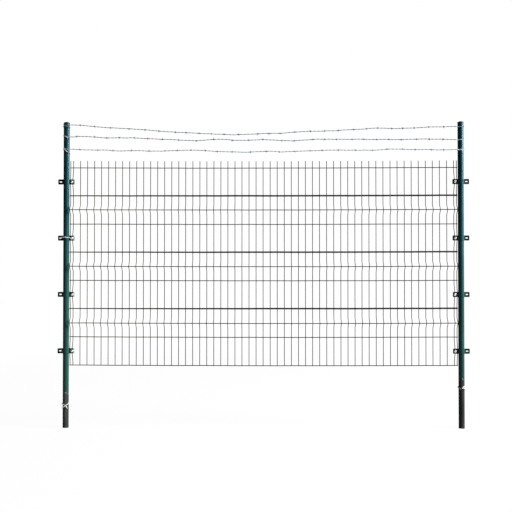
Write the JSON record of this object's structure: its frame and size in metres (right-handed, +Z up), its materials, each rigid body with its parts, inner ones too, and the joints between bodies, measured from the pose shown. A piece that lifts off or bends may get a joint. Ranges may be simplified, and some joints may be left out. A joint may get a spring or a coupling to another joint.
{
  "type": "welded mesh fence panel",
  "caption": "One bay of fence: folded welded mesh panel clamped between two round posts, with barbed wire strands above.",
  "frame": {"origin": "centre of the left post's foot, on its end face", "axes": "+X along the fence to the right post, +Z up the post, the front of the panel looks along -Y"},
  "size_m": [2.9164, 0.0634, 2.17],
  "materials": {
    "post_coating": "green powder coat, weathered",
    "mesh_coating": "dull olive grey coat",
    "clamp_coating": "dark green powder coat",
    "cap_plastic": "black plastic",
    "galvanised_wire": "galvanised",
    "tie_wire": "bright zinc coated",
    "bolt_zinc": "zinc plated"
  },
  "bodies": {
    "root": {"left_post": "post_coating", "left_post_cap": "cap_plastic", "right_post": "post_coating", "right_post_cap": "cap_plastic", "mesh_left": "mesh_coating", "mesh_middle": "mesh_coating", "mesh_right": "mesh_coating", "barbed_wire_top": "galvanised_wire", "barbed_wire_middle": "galvanised_wire", "barbed_wire_bottom": "galvanised_wire", "left_foot_tie": "tie_wire", "right_foot_tie": "tie_wire", "left_clamp_bottom_front": "clamp_coating", "left_clamp_bottom_rear": "clamp_coating", "left_clamp_lower_front": "clamp_coating", "left_clamp_lower_rear": "clamp_coating", "left_clamp_upper_front": "clamp_coating", "left_clamp_upper_rear": "clamp_coating", "left_clamp_top_front": "clamp_coating", "left_clamp_top_rear": "clamp_coating", "right_clamp_bottom_front": "clamp_coating", "right_clamp_bottom_rear": "clamp_coating", "right_clamp_lower_front": "clamp_coating", "right_clamp_lower_rear": "clamp_coating", "right_clamp_upper_front": "clamp_coating", "right_clamp_upper_rear": "clamp_coating", "right_clamp_top_front": "clamp_coating", "right_clamp_top_rear": "clamp_coating"}
  },
  "joints": []
}
